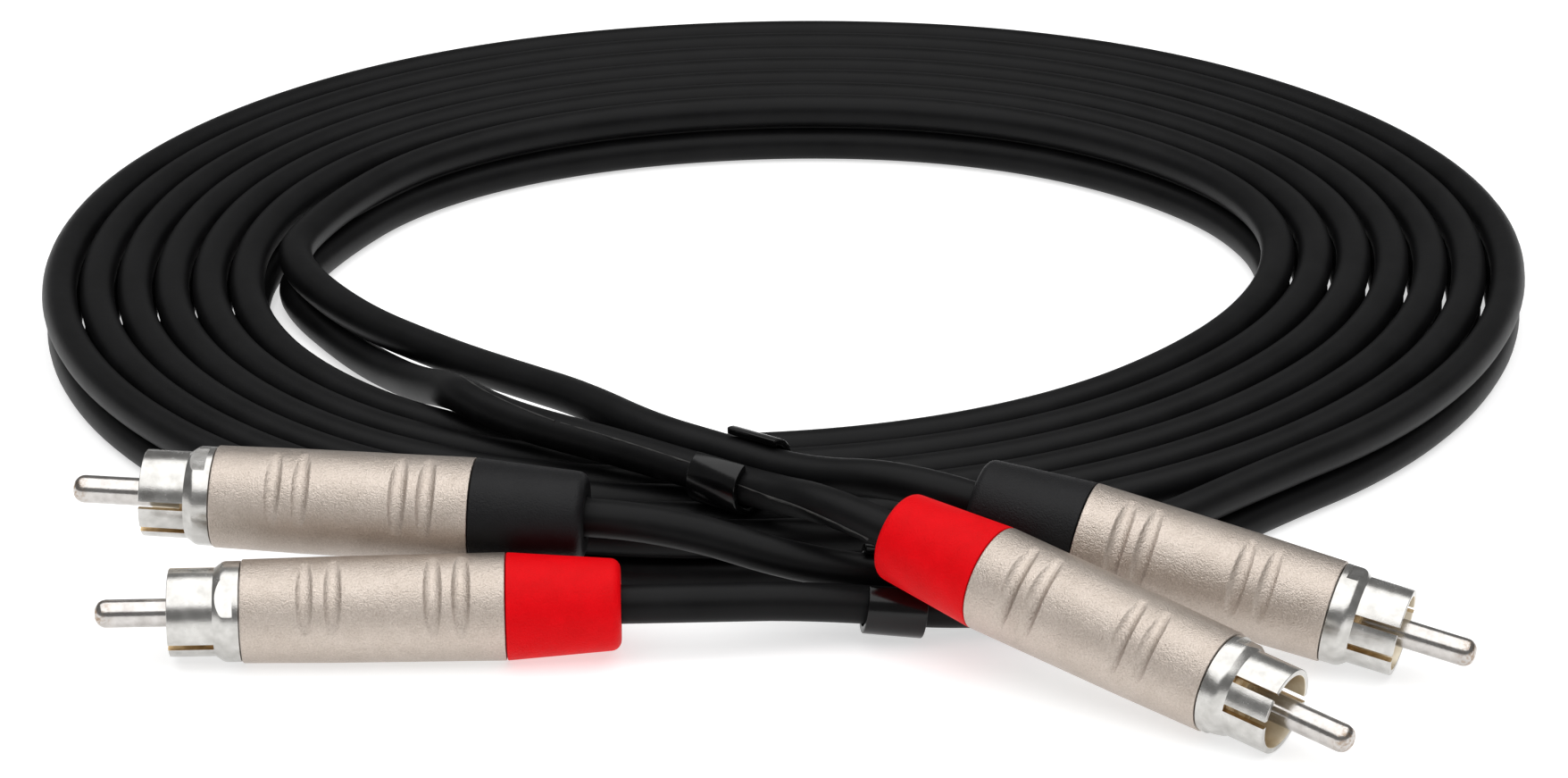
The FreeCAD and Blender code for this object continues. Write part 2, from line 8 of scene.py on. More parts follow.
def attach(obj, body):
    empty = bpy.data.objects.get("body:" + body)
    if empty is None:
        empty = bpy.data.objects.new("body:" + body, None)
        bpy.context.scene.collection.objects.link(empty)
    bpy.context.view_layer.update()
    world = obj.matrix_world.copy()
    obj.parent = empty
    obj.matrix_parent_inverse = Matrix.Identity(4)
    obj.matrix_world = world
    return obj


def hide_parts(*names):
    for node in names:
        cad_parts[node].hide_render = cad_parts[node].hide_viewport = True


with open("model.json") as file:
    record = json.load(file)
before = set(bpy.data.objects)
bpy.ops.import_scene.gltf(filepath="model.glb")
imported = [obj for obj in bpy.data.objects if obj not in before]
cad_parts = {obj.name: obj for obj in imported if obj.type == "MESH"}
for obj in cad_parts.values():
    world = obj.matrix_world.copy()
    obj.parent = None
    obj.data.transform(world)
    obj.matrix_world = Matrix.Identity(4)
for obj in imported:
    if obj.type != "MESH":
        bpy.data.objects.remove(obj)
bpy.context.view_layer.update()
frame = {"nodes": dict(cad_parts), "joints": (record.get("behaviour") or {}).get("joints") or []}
mm = 0.001
joints = {joint["name"]: joint for joint in frame["joints"]}

# what a plug is and how it lies; lengths along it count from the pin's tip, in millimetres
plugs = {
    "red_left": {"colour": "red", "sleeveTurn": 48, "shellTurn": -42},
    "black_left": {"colour": "black", "sleeveTurn": 13, "shellTurn": -40},
    "red_right": {"colour": "red", "sleeveTurn": 24, "shellTurn": 37},
    "black_right": {"colour": "black", "sleeveTurn": 7, "shellTurn": 35},
}
plugLength = 58.75
bootJoint = 46.0
shellJoint = 16.4
sleeveFront = 8.35

# the twin cable: two round jackets, one above the other through the coil
cable = {"diameter": 4.4, "lower": 2.2, "upper": 6.9, "lean": 0.45, "sides": 9, "steps": 8}

coil = {
    "middle": (-1.2, 19.0), "inner": 59.2, "pitch": 4.88, "bulge": 3.4,
    "innerEase": 0.9, "easeUntil": 0.25, "outerEase": 0.2, "easeFrom": 6.5,
    "firstTurn": 20 / 360, "lastTurn": 6.5 + 50 / 360, "perTurn": 24,
    "swayFrom": 0.8, "swayOver": 5.5,
}

# how far the hand-laid turns lie outside the even coil, in millimetres: angle, innermost turn, outermost
# turn; rounded and evened by hand from a scratch script's measure of the coil's outline in the photograph
sways = (
    (0, -0.6, -0.2), (15, 2.6, 2.0), (30, 2.4, 2.4), (45, 1.5, 2.4), (60, 0.7, 2.4), (75, -1.0, 0.8),
    (90, -2.2, -0.8), (105, -2.5, -1.2), (120, -1.8, -0.6), (135, -0.9, -0.8), (150, -0.3, -0.8), (165, 0, -0.4),
    (180, 0, -0.5), (195, 0.4, -0.6), (210, 0.8, -0.5), (225, 1.0, -0.4), (240, 0.7, -0.7), (255, -2.0, -2.2),
    (270, -4.6, -3.8), (285, -5.7, -4.6), (300, -6.5, -5.0), (315, -6.6, -5.0), (330, -6.1, -4.2),
    (345, -3.6, -2.4), (360, -0.6, -0.2),
)

# points from the coil to each plug, led along the photograph
tails = {
    "black_right": [
        (-63.3, 26.8, 6.9), (-62.9, 20.6, 6.9), (-60.3, 13.6, 6.9), (-56.1, 5.8, 7.0), (-51.1, -1.8, 7.3),
        (-45.1, -9.7, 8.1), (-38.5, -17.7, 8.9), (-31.2, -26.9, 10.4), (-23.8, -36.7, 12.2),
        (-15.5, -48.9, 13.4), (-7.0, -55.1, 13.4), (2.7, -62.1, 13.4)],
    "red_right": [
        (-63.3, 26.8, 2.2), (-63.0, 20.6, 2.2), (-60.7, 14.0, 2.2), (-56.7, 6.2, 2.3), (-52.3, -2.0, 2.8),
        (-48.0, -10.8, 4.4), (-44.3, -20.0, 7.0), (-41.2, -27.9, 9.9), (-38.7, -34.6, 12.1),
        (-35.2, -39.2, 12.1), (-30.4, -43.8, 12.2), (-24.8, -48.0, 12.4), (-18.7, -52.3, 12.6),
        (-1.7, -64.8, 12.6)],
    "red_left": [
        (42.6, -62.8, 2.2), (33.6, -70.6, 2.4), (22.0, -77.3, 3.5), (3.0, -78.75, 5.6)],
    "black_left": [
        (43.2, -60.7, 6.75), (33.2, -66.7, 5.75), (22.0, -72.25, 4.75), (3.0, -74.05, 7.4)],
}
straightExit = 9.0


class Wire:
    # a socket that Python's own operators can work on
    def __init__(self, shade, socket):
        self.shade = shade
        self.socket = socket

    def maths(self, operation, first, second=0.0, clamp=False):
        return self.shade.add("ShaderNodeMath", {"operation": operation, "use_clamp": clamp},
                              {0: first, 1: second})

    def __add__(self, other):
        return self.maths("ADD", self, other)

    def __sub__(self, other):
        return self.maths("SUBTRACT", self, other)

    def __rsub__(self, other):
        return self.maths("SUBTRACT", other, self)

    def __mul__(self, other):
        return self.maths("MULTIPLY", self, other)

    def over(self, other):
        return self.maths("GREATER_THAN", self, other)

    def fit(self, low, high):
        return self.maths("MULTIPLY", self - low, 1 / (high - low), clamp=True)

    __radd__ = __add__
    __rmul__ = __mul__


class Shade:
    # a material being made, with one method for every node
    def __init__(self, name, **fixed):
        self.material = bpy.data.materials.new(name)
        self.material.use_nodes = True
        self.tree = self.material.node_tree
        self.tree.nodes.clear()
        self.place = self.add("ShaderNodeTexCoord", take="Object")
        self.surface = self.add("ShaderNodeBsdfPrincipled", sockets=fixed).socket.node
        self.add("ShaderNodeOutputMaterial", sockets={"Surface": Wire(self, self.surface.outputs[0])}, take=None)

    def add(self, kind, settings=None, sockets=None, take=0):
        node = self.tree.nodes.new(kind)
        for key, value in (settings or {}).items():
            if key == "stops":
                ramp = node.color_ramp
                while len(ramp.elements) < len(value):
                    ramp.elements.new(1.0)
                for element, (position, colour) in zip(ramp.elements, value):
                    element.position = position
                    element.color = (*colour, 1)
            else:
                setattr(node, key, value)
        for key, value in (sockets or {}).items():
            self.feed(node.inputs[key], value)
        return node if take is None else Wire(self, node.outputs[take])

    def feed(self, socket, value):
        if isinstance(value, Wire):
            self.tree.links.new(value.socket, socket)
        elif socket.type == "RGBA" and len(value) == 3:
            socket.default_value = (*value, 1)
        else:
            socket.default_value = value

    def cloud(self, grain, detail=2.0, roughness=0.5, stretch=None):
        # noise whose blobs are about this many millimetres across
        place = self.place
        if stretch:
            place = self.add("ShaderNodeMapping", None, {"Vector": place, "Scale": stretch})
        return self.add("ShaderNodeTexNoise", {"noise_dimensions": "3D"},
                        {"Vector": place, "Scale": 1 / (grain * mm), "Detail": detail, "Roughness": roughness})

    def specks(self, spacing, size):
        # 1 inside rare round dots, 0 elsewhere
        cells = self.add("ShaderNodeTexVoronoi", {"feature": "F1"},
                         {"Vector": self.place, "Scale": 1 / (spacing * mm), "Randomness": 1.0}, take="Distance")
        return 1 - cells.over(size / spacing)

    def carried(self, name):
        # a number that the mesh itself carries
        return self.add("ShaderNodeAttribute", {"attribute_name": name}, take="Fac")

    def blend(self, amount, low, high):
        return self.add("ShaderNodeMix", {"data_type": "RGBA"}, {0: amount, 6: low, 7: high}, take=2)

    def relief(self, height, depth, under=None):
        sockets = {"Height": height, "Distance": depth * mm, "Strength": 1.0}
        if under:
            sockets["Normal"] = under
        return self.add("ShaderNodeBump", None, sockets)

    def set(self, **links):
        for name, value in links.items():
            self.feed(self.surface.inputs[name.replace("_", " ")], value)
        return self


# finishes

def jacketFinish():
    tint = {"dark": (0.0026, 0.0026, 0.0028), "light": (0.0052, 0.0052, 0.0055), "dust": (0.05, 0.05, 0.05)}
    shade = Shade("blackJacket", IOR=1.21)
    broad = shade.cloud(6.0, 3)
    fine = shade.cloud(0.22, 3, 0.6)
    dust = shade.specks(5.0, 0.055)
    colour = shade.blend(broad.fit(0.3, 0.7), tint["dark"], tint["light"])
    skin = shade.relief(broad, 0.06)
    shade.set(Base_Color=shade.blend(dust, colour, tint["dust"]),
              Roughness=0.36 + broad * 0.10 + fine * 0.06,
              Normal=shade.relief(fine, 0.016, skin))
    return shade.material


def shellFinish():
    tint = {"deep": (0.40, 0.34, 0.29), "pale": (0.61, 0.54, 0.485)}
    shade = Shade("pearlShell")
    broad = shade.cloud(3.0, 3)
    fine = shade.cloud(0.20, 3, 0.65)
    coarse = shade.cloud(0.5, 2)
    shade.set(Metallic=1.0,
              Base_Color=shade.blend((broad * 0.25 + fine * 0.75).fit(0.3, 0.7), tint["deep"], tint["pale"]),
              Roughness=0.28 + fine * 0.16,
              Normal=shade.relief(fine * 0.75 + coarse * 0.25, 0.15))
    return shade.material


def sleeveFinish():
    tint = {"deep": (0.43, 0.42, 0.40), "pale": (0.59, 0.58, 0.56)}
    shade = Shade("silverSleeve")
    broad = shade.cloud(1.6, 3)
    fine = shade.cloud(0.18, 2, 0.6)
    shade.set(Metallic=1.0,
              Base_Color=shade.blend(broad.fit(0.3, 0.7), tint["deep"], tint["pale"]),
              Roughness=0.17 + broad * 0.08 + fine * 0.08,
              Normal=shade.relief(fine * 0.6 + broad * 0.4, 0.012))
    return shade.material


def pinFinish():
    tint = {"deep": (0.45, 0.425, 0.405), "pale": (0.58, 0.56, 0.54), "worn": (0.28, 0.195, 0.13)}
    shade = Shade("brightPin")
    broad = shade.cloud(1.2, 3)
    fine = shade.cloud(0.12, 2)
    worn = (1 - shade.carried("along").fit(0.2, 2.4)) * shade.cloud(0.6, 3, 0.7).fit(0.42, 0.62)
    metal = shade.blend(broad.fit(0.3, 0.7), tint["deep"], tint["pale"])
    shade.set(Metallic=1.0,
              Base_Color=shade.blend(worn, metal, tint["worn"]),
              Roughness=0.13 + fine * 0.10 + worn * 0.15,
              Normal=shade.relief(fine, 0.008))
    return shade.material


def bootFinish(name, dark, light, roughness, gloss):
    shade = Shade(name, IOR=gloss)
    broad = shade.cloud(2.5, 3)
    fine = shade.cloud(0.20, 3, 0.6)
    dust = shade.specks(3.2, 0.06)
    colour = shade.blend((broad * 0.6 + fine * 0.4).fit(0.3, 0.7), dark, light)
    pale = tuple(min(1.0, c * 1.5 + 0.05) for c in light)
    shade.set(Base_Color=shade.blend(dust, colour, pale),
              Roughness=roughness + fine * 0.12,
              Normal=shade.relief(fine * 0.7 + broad * 0.3, 0.12))
    return shade.material


def mouldedFinish(name, dark, light, roughness, depth=0.010):
    shade = Shade(name, IOR=1.36)
    broad = shade.cloud(1.8, 3)
    fine = shade.cloud(0.25, 2)
    shade.set(Base_Color=shade.blend(broad.fit(0.3, 0.7), dark, light),
              Roughness=roughness + fine * 0.08,
              Normal=shade.relief(fine, depth))
    return shade.material


# warm brass tone on the sleeve's slot walls: a painted warm reflection
def slotReflectionFinish():
    shade = Shade("paintedSlotReflection")
    broad = shade.cloud(0.8, 3)
    shade.set(Metallic=1.0,
              Base_Color=shade.blend(broad.fit(0.3, 0.7), (0.40, 0.28, 0.14), (0.62, 0.47, 0.28)),
              Roughness=0.30 + broad * 0.15)
    return shade.material


# warm tan tone inside the sleeve's bore: a painted warm reflection
def boreReflectionFinish():
    shade = Shade("paintedBoreReflection")
    broad = shade.cloud(1.2, 3)
    shade.set(Metallic=1.0,
              Base_Color=shade.blend(broad.fit(0.3, 0.7), (0.70, 0.62, 0.48), (0.84, 0.78, 0.66)),
              Roughness=0.38 + broad * 0.12)
    return shade.material


def copperFinish():
    shade = Shade("bareCopper")
    strands = shade.cloud(0.25, 2, 0.5, (1.0, 1.0, 4.0))
    shade.set(Metallic=1.0,
              Base_Color=shade.blend(strands.fit(0.3, 0.7), (0.55, 0.26, 0.13), (0.80, 0.45, 0.28)),
              Roughness=0.28 + strands * 0.15,
              Normal=shade.relief(strands, 0.03))
    return shade.material


finishes = {
    "jacket": jacketFinish(),
    "shell": shellFinish(),
    "sleeve": sleeveFinish(),
    "pin": pinFinish(),
    "red": bootFinish("redBoot", (0.60, 0.0006, 0.0030), (0.72, 0.0010, 0.0050), 0.40, 1.16),
    "black": bootFinish("blackBoot", (0.0030, 0.0030, 0.0036), (0.0064, 0.0064, 0.0072), 0.36, 1.27),
    "insulator": mouldedFinish("tanInsulator", (0.50, 0.37, 0.21), (0.60, 0.46, 0.28), 0.45),
    "clamp": mouldedFinish("whiteClamp", (0.60, 0.59, 0.56), (0.68, 0.67, 0.64), 0.5),
    "dielectric": mouldedFinish("clearCore", (0.62, 0.62, 0.62), (0.74, 0.74, 0.74), 0.35),
    "clip": mouldedFinish("glossClip", (0.0014, 0.0014, 0.0015), (0.003, 0.003, 0.0032), 0.14, 0.004),
    # the torn ridges' paler grey is a painted highlight along their edges
    "tear": mouldedFinish("tornWebPaintedHighlight", (0.016, 0.016, 0.016), (0.045, 0.044, 0.042), 0.45, 0.02),
    "slotReflection": slotReflectionFinish(),
    "boreReflection": boreReflectionFinish(),
    "copper": copperFinish(),
}
print("finishes:", len(finishes))


# shared mesh work

roundings = {"segments": 3, "wide": 0.5, "wideSegments": 6, "long": 5}


def pieceFrom(bm, name, finish):
    mesh = bpy.data.meshes.new(name)
    bm.to_mesh(mesh)
    bm.free()
    piece = bpy.data.objects.new(name, mesh)
    bpy.context.scene.collection.objects.link(piece)
    mesh.materials.append(finishes[finish])
    return piece


def shadeByAngle(bm, degrees):
    limit = math.radians(degrees)
    for face in bm.faces:
        face.smooth = True
    for edge in bm.edges:
        edge.smooth = not (edge.is_manifold and edge.calc_face_angle(0) > limit)


def drawProfile(bm, points, rounds, closed):
    # a wire through (station, radius) points, with its corners rounded by {number: size}
    corners = [bm.verts.new((x * mm, r * mm, 0)) for x, r in points]
    for a, b in zip(corners, corners[1:]):
        bm.edges.new((a, b))
    if closed:
        bm.edges.new((corners[-1], corners[0]))
    for size in sorted(set(rounds.values())):
        chosen = [corners[i] for i, s in rounds.items() if s == size]
        segments = roundings["wideSegments" if size > roundings["wide"] else "segments"]
        bmesh.ops.bevel(bm, geom=chosen, offset=size * mm, offset_type="OFFSET", segments=segments,
                        profile=0.5, affect="VERTICES", material=-1)


def longEdges(bm):
    return [e for e in bm.edges if e.calc_length() > roundings["long"] * mm]


def spinProfile(bm, steps):
    bmesh.ops.spin(bm, geom=bm.verts[:] + bm.edges[:], cent=(0, 0, 0), axis=(1, 0, 0),
                   angle=2 * math.pi, steps=steps, use_merge=True)
    bmesh.ops.remove_doubles(bm, verts=bm.verts[:], dist=1e-7)
    bmesh.ops.recalc_face_normals(bm, faces=bm.faces[:])


def plugMatrix(plug, turn):
    joint = joints["shell_turn_" + plug]
    along = Vector(joint["axis"]).normalized()
    level = Vector((0, 0, 1)).cross(along).normalized()
    turned = Matrix((along, level, along.cross(level))).transposed().to_4x4()
    tip = Vector(joint["pos_m"]) - along * plugLength * mm
    return Matrix.Translation(tip) @ turned @ Matrix.Rotation(math.radians(turn), 4, "X")


def settle(bm, plug, turn, name, finish, body, node):
    bmesh.ops.transform(bm, matrix=plugMatrix(plug, turn), verts=bm.verts[:])
    piece = pieceFrom(bm, name, finish)
    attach(piece, body)
    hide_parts(node)
    return piece


# cables

def swayAt(angle, turn):
    degrees = math.degrees(angle) % 360
    outward = min(1.0, max(0.0, (turn - coil["swayFrom"]) / coil["swayOver"]))
    for near, far in zip(sways, sways[1:]):
        if degrees <= far[0]:
            share = (degrees - near[0]) / (far[0] - near[0])
            inner, outer = (a + (b - a) * share for a, b in zip(near[1:], far[1:]))
            return inner + (outer - inner) * outward


def coilRadius(turn):
    angle = math.pi - 2 * math.pi * turn
    radius = coil["inner"] + coil["pitch"] * turn + coil["bulge"] * math.cos(angle) ** 2
    radius -= coil["innerEase"] * max(0.0, (coil["easeUntil"] - turn) / (coil["easeUntil"] - coil["firstTurn"]))
    radius += coil["outerEase"] * max(0.0, (turn - coil["easeFrom"]) / (coil["lastTurn"] - coil["easeFrom"]))
    return radius + swayAt(angle, turn), angle


def coilPoints(height):
    # control points of the turns, a little outside the line so that the spline lies on it; the pair leans inwards
    # below, so that less floor shows between the turns
    inward = cable["lean"] * (cable["upper"] - height) / (cable["upper"] - cable["lower"])
    step = 2 * math.pi / coil["perTurn"]
    outside = 1 / math.cos(step / 2)
    count = round((coil["lastTurn"] - coil["firstTurn"]) * coil["perTurn"])
    points = []
    for i in range(count + 1):
        turn = coil["firstTurn"] + (coil["lastTurn"] - coil["firstTurn"]) * i / count
        radius, angle = coilRadius(turn)
        reach = (radius - inward) * (1 if i in (0, count) else outside)
        points.append((coil["middle"][0] + reach * math.cos(angle), coil["middle"][1] + reach * math.sin(angle),
                       height))
    return points


def plugExit(plug):
    joint = joints["shell_turn_" + plug]
    end, along = Vector(joint["pos_m"]) / mm, Vector(joint["axis"])
    return [tuple(end + along * straightExit), tuple(end)]


def cableRoute(level, left, right):
    route = plugExit(left)[::-1] + tails[left][::-1] + coilPoints(cable[level])[::-1] + tails[right]
    return [Vector(p) * mm for p in route + plugExit(right)]


def splineCurve(name, points, radius, sides, steps):
    curve = bpy.data.curves.new(name, "CURVE")
    curve.dimensions = "3D"
    spline = curve.splines.new("NURBS")
    spline.points.add(len(points) - 1)
    for slot, point in zip(spline.points, points):
        slot.co = (*point, 1)
    spline.order_u = 3
    spline.use_endpoint_u = True
    spline.resolution_u = steps
    curve.resolution_u = steps
    curve.bevel_depth = radius
    curve.bevel_resolution = sides
    curve.use_fill_caps = radius > 0
    piece = bpy.data.objects.new(name, curve)
    bpy.context.scene.collection.objects.link(piece)
    return piece


def splinePoints(points, steps):
    # where the smooth line runs, read back from a bare copy of the curve
    bare = splineCurve("bareRoute", points, 0, 0, steps)
    line = bpy.data.meshes.new_from_object(bare)
    places = [v.co.copy() for v in line.vertices]
    bpy.data.meshes.remove(line)
    bpy.data.objects.remove(bare)
    return places


def lengthOf(points):
    return sum((b - a).length for a, b in zip(points, points[1:]))


routes = {
    "upper": cableRoute("upper", "black_left", "black_right"),
    "lower": cableRoute("lower", "red_left", "red_right"),
}
lines = {level: splinePoints(route, cable["steps"]) for level, route in routes.items()}


def makeCables():
    made = {}
    for level, route in routes.items():
        piece = splineCurve(level + "Cable", route, cable["diameter"] / 2 * mm, cable["sides"], cable["steps"])
        piece.data.materials.append(finishes["jacket"])
        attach(piece, "cable")
        colour = "black" if level == "upper" else "red"
        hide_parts("coil_" + level, f"cable_tail_{colour}_left", f"cable_tail_{colour}_right")
        made[level] = piece
        print(level, "cable:", round(lengthOf(lines[level]) / mm), "mm")
    return made


# the web that joins the pair through the coil, and what tore off it along the free ends

web = {"radius": 0.42, "height": 4.55}

# ridges the web left where the pair is torn apart: how far from the right plug, and the angle about the cable
# from its top towards the front, at both ends
tears = {
    "lowerInner": {"line": "lower", "from": 50, "to": 69, "angles": (31, -12), "radius": 0.13},
    "lowerMiddle": {"line": "lower", "from": 24, "to": 50, "angles": (46, 31), "radius": 0.14},
    "lowerOuter": {"line": "lower", "from": 2, "to": 24, "angles": (112, 64), "radius": 0.15},
    "upperMiddle": {"line": "upper", "from": 30, "to": 46, "angles": (128, 134), "radius": 0.15},
}
tear = {"step": 0.7, "sunk": 0.04, "stray": 0.05, "wander": 3, "grain": 1.3, "width": 0.9, "thinnest": 0.3}


def makeWeb():
    points = [Vector(p) * mm for p in coilPoints(web["height"])]
    piece = splineCurve("twinWeb", points, web["radius"] * mm, 1, cable["steps"])
    piece.data.materials.append(finishes["jacket"])
    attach(piece, "cable")
    return piece


def walk(line, step):
    # points a short step apart along a line, each with its distance from the start and its heading
    walked = 0.0
    for a, b in zip(line, line[1:]):
        count = max(1, round((b - a).length / step))
        for i in range(count):
            yield walked + (b - a).length * i / count, a.lerp(b, i / count), (b - a).normalized()
        walked += (b - a).length


def makeTear(name, ridge):
    points, widths = [], []
    for far, place, heading in walk(lines[ridge["line"]][::-1], tear["step"] * mm):
        share = (far / mm - ridge["from"]) / (ridge["to"] - ridge["from"])
        if not 0 <= share <= 1:
            continue
        rough = noise.noise(place / (tear["grain"] * mm))
        angle = math.radians(ridge["angles"][0] + (ridge["angles"][1] - ridge["angles"][0]) * share
                             + tear["wander"] * rough)
        above = (Vector((0, 0, 1)) - heading * heading.z).normalized()
        out = above * math.cos(angle) + above.cross(heading) * math.sin(angle)
        points.append(place + out * (cable["diameter"] / 2 - tear["sunk"] + tear["stray"] * rough) * mm)
        widths.append(max(tear["thinnest"], tear["width"] * (1 + rough)))
    piece = splineCurve(name + "Tear", points, ridge["radius"] * mm, 1, 2)
    for point, width in zip(piece.data.splines[0].points, widths):
        point.radius = width
    # the ridge takes the paler finish: a painted highlight along the torn edge
    piece.data.materials.append(finishes["tear"])
    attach(piece, "cable")


# the metal pieces of a plug

pin = {"radius": 1.59, "nose": 1.25, "stem": 1.3, "seat": 12.95, "neckEnd": 20.2, "cup": 1.8, "cupEnd": 23.8,
       "cupBore": 0.7, "cupFloor": 21.4, "cupEdge": 0.2, "steps": 48, "rings": 11, "sharp": 40}


def makePin(plug):
    bm = bmesh.new()
    points = [(0, 0), (0, pin["radius"]), (pin["seat"], pin["radius"]), (pin["seat"], pin["stem"]),
              (pin["neckEnd"], pin["stem"]), (pin["neckEnd"], pin["cup"]), (pin["cupEnd"], pin["cup"]),
              (pin["cupEnd"], pin["cupBore"]), (pin["cupFloor"], pin["cupBore"]), (pin["cupFloor"], 0)]
    drawProfile(bm, points, {1: pin["nose"], 5: pin["cupEdge"], 6: pin["cupEdge"]}, False)
    bmesh.ops.subdivide_edges(bm, edges=longEdges(bm), cuts=pin["rings"])
    spinProfile(bm, pin["steps"])
    shadeByAngle(bm, pin["sharp"])
    along = bm.verts.layers.float.new("along")
    for vert in bm.verts:
        vert[along] = vert.co.x / mm
    return settle(bm, plug, 0, "centrePin_" + plug, "pin", "cable", "centre_pin_" + plug)


# boreReflection: how far past the bore a face may lie and still take the painted warm reflection
sleeve = {"outer": 4.95, "bore": 4.25, "coneFrom": 13.45, "collarFrom": 14.45, "collar": 5.65,
          "flatEnd": 15.7, "thread": 4.9, "threadEnd": 20.6, "tail": 3.6, "tailEnd": 29.6, "neck": 2.7, "seat": 18.6,
          "steps": 72, "slots": (20, 160, 200, 340), "midWall": 4.6, "slotReach": 1.2, "lip": 0.12, "coneEdge": 0.3,
          "collarEdge": 0.1, "flatDepth": 0.5, "flatStep": 0.01, "boreReflection": 0.05, "sharp": 28, "hair": 1e-6}


def makeSleeve(plug):
    s = sleeve
    bm = bmesh.new()
    points = [(sleeveFront, s["bore"]), (sleeveFront, s["outer"]), (s["coneFrom"], s["outer"]),
              (s["collarFrom"], s["collar"]), (s["flatEnd"], s["collar"]), (s["flatEnd"] + s["flatStep"], s["collar"]),
              (shellJoint, s["collar"]), (shellJoint, s["thread"]), (s["threadEnd"], s["thread"]),
              (s["threadEnd"], s["tail"]), (s["tailEnd"], s["tail"]), (s["tailEnd"], s["neck"]),
              (s["seat"], s["neck"]), (s["seat"], s["bore"]), (s["coneFrom"], s["bore"])]
    drawProfile(bm, points, {0: s["lip"], 1: s["lip"], 3: s["coneEdge"], 6: s["collarEdge"]}, True)
    spinProfile(bm, s["steps"])
    whole = cutSlots(bm)
    for face in bm.faces:
        place = face.calc_center_median()
        # faces on the bore, in front of the seat, take the painted warm reflection
        boreReflected = math.hypot(place.y, place.z) < (s["bore"] + s["boreReflection"]) * mm and place.x < s["seat"] * mm - s["hair"]
        # slot walls (index 1) take a painted warm reflection, the bore's mouth (index 2) a painted warm bore
        # reflection
        face.material_index = (2 if boreReflected else 0) if face in whole else 1
    cutFlats(bm)
    bmesh.ops.recalc_face_normals(bm, faces=bm.faces[:])
    shadeByAngle(bm, s["sharp"])
    piece = settle(bm, plug, plugs[plug]["sleeveTurn"], "groundSleeve_" + plug, "sleeve", "cable",
                   "ground_sleeve_" + plug)
    # painted warm reflection for the slot walls
    piece.data.materials.append(finishes["slotReflection"])
    # painted warm reflection for the bore
    piece.data.materials.append(finishes["boreReflection"])
    return piece


def cutSlots(bm):
    # takes columns of faces out of the sleeve's mouth and walls each slot in; gives back the faces that stay
    s = sleeve
    column = 360 / s["steps"]
    cut = {face for slot in s["slots"] for face in bm.faces if besideSlot(face.calc_center_median(), slot, column)
           and face.calc_center_median().x < s["coneFrom"] * mm}
    bmesh.ops.delete(bm, geom=list(cut), context="FACES")
    whole = set(bm.faces)
    deep = (sleeveFront + s["lip"]) * mm - s["hair"]
    for slot in s["slots"]:
        rim = [e for e in openEdges(bm, slot, column * s["slotReach"]) if min(v.co.x for v in e.verts) > deep]
        within = {corner(v): v for e in rim for v in e.verts if math.hypot(v.co.y, v.co.z) < s["midWall"] * mm}
        for edge in rim:
            a, b = edge.verts
            if math.hypot(a.co.y, a.co.z) > s["midWall"] * mm:
                bm.faces.new((a, b, within[corner(b)], within[corner(a)]))
        bmesh.ops.holes_fill(bm, edges=openEdges(bm, slot, column * s["slotReach"]), sides=0)
    print("sleeve: open edges left", sum(e.is_boundary for e in bm.edges))
    return whole


def openEdges(bm, slot, reach):
    return [e for e in bm.edges if e.is_boundary and besideSlot((e.verts[0].co + e.verts[1].co) / 2, slot, reach)]


def corner(vert):
    # where a corner lies on the sleeve, whatever its radius
    return round(vert.co.x / mm, 2), round(math.degrees(math.atan2(vert.co.z, vert.co.y)) % 360)


def besideSlot(place, slot, reach):
    angle = math.degrees(math.atan2(place.z, place.y))
    return abs((angle - slot + 180) % 360 - 180) < reach


def cutFlats(bm):
    # two wrench flats across the collar, kept off its rear rim
    s = sleeve
    level = (s["collar"] - s["flatDepth"]) * mm
    for side in (1, -1):
        band = [f for f in bm.faces if sleeveBand(f)]
        geom = band + list({e for f in band for e in f.edges}) + list({v for f in band for v in f.verts})
        bmesh.ops.bisect_plane(bm, geom=geom, dist=1e-7, plane_co=(0, 0, side * level), plane_no=(0, 0, side))
        for vert in bm.verts:
            within = s["coneFrom"] * mm - s["hair"] < vert.co.x < s["flatEnd"] * mm + s["hair"]
            if vert.co.z * side > level and within:
                vert.co.z = side * level


def sleeveBand(face):
    middle = face.calc_center_median()
    radius = math.hypot(middle.y, middle.z)
    end = sleeve["flatEnd"] + sleeve["flatStep"] / 2
    return sleeve["coneFrom"] * mm < middle.x < end * mm and radius > sleeve["outer"] * mm


shell = {"front": 5.8, "waist": 5.95, "rear": 6.05, "waistAt": 26.4, "bore": 5.3, "ridge": 4.98, "ridgeEnd": 20.9,
         "seam": 0.1, "steps": 144, "rows": (90, 168), "edge": 0.14, "skin": 5.5, "sharp": 40,
         "gripRadius": 7.1, "gripRound": 1.3, "gripDepth": 0.48, "grips": (7.3, 10.45, 21.5, 24.65), "soft": 0.02}


def gripCut(x, y, z):
    # how far a point of the barrel sinks into the nearest finger groove
    side = 1 if y > 0 else -1
    offset = shell["gripRadius"] + shell["gripDepth"] - shell["waist"]
    ring = math.hypot(y * side + offset, z)
    for station in shell["grips"]:
        away = x - shellJoint - station
        if abs(away) < shell["gripRound"]:
            reach = ring - shell["gripRadius"] - shell["gripRound"] + math.sqrt(shell["gripRound"] ** 2 - away ** 2)
            return reach * reach / (reach + shell["soft"]) if reach > 0 else 0.0
    return 0.0


